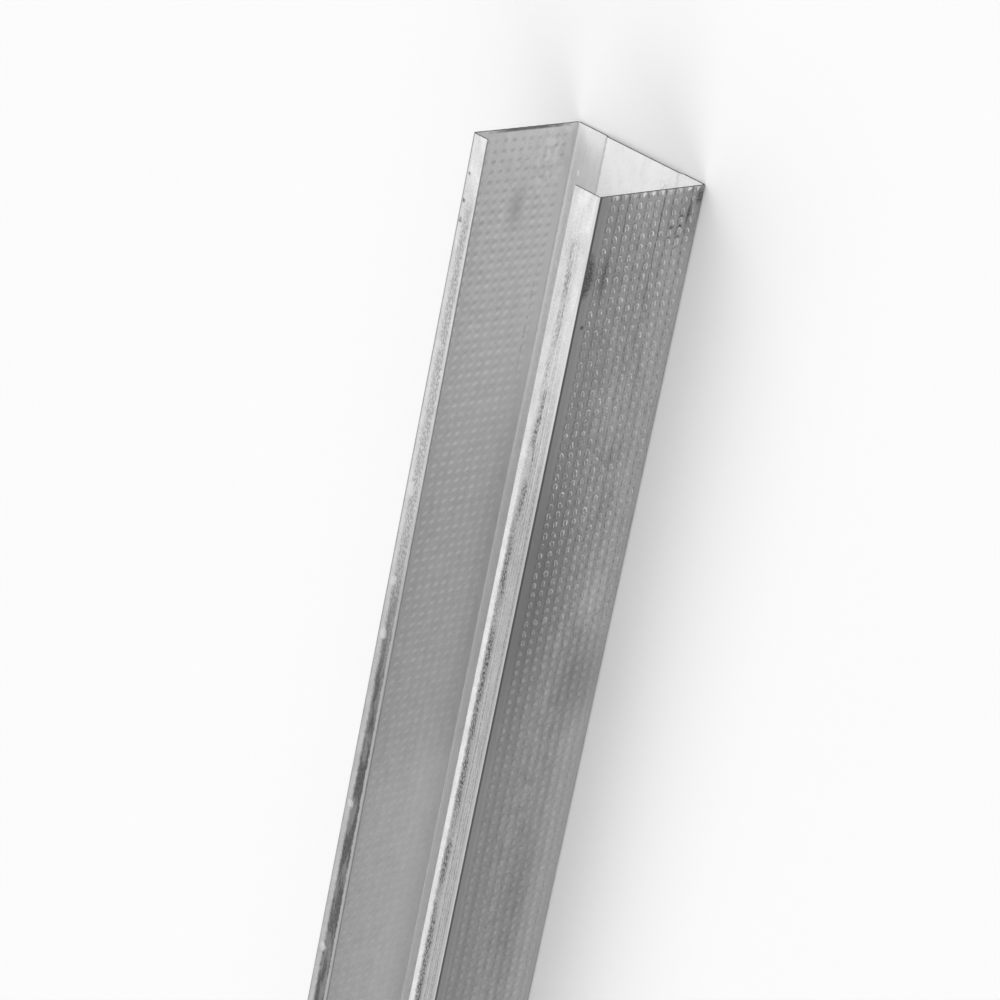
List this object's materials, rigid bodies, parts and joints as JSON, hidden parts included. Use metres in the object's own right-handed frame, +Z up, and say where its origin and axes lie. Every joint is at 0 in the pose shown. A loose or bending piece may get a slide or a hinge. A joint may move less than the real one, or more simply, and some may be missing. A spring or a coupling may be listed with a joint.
{
  "type": "drywall metal stud",
  "caption": "Lipped steel C-channel with knurled flanges, a stepped web with oblong punchouts and square-cut ends, for light wall framing.",
  "frame": {"origin": "centre of the footprint on the floor, under the middle of the stud's length", "axes": "+X along the stud towards the end with the drawn-in lip, Y across the web with the wide lip at -Y, +Z up from the web's outer face towards the open side"},
  "size_m": [2.44, 0.0412, 0.033],
  "materials": {
    "galvanised_steel": "satin galvanised sheet, knurled flanges, lightly scuffed"
  },
  "bodies": {
    "root": {"c_stud": "galvanised_steel"}
  },
  "joints": []
}
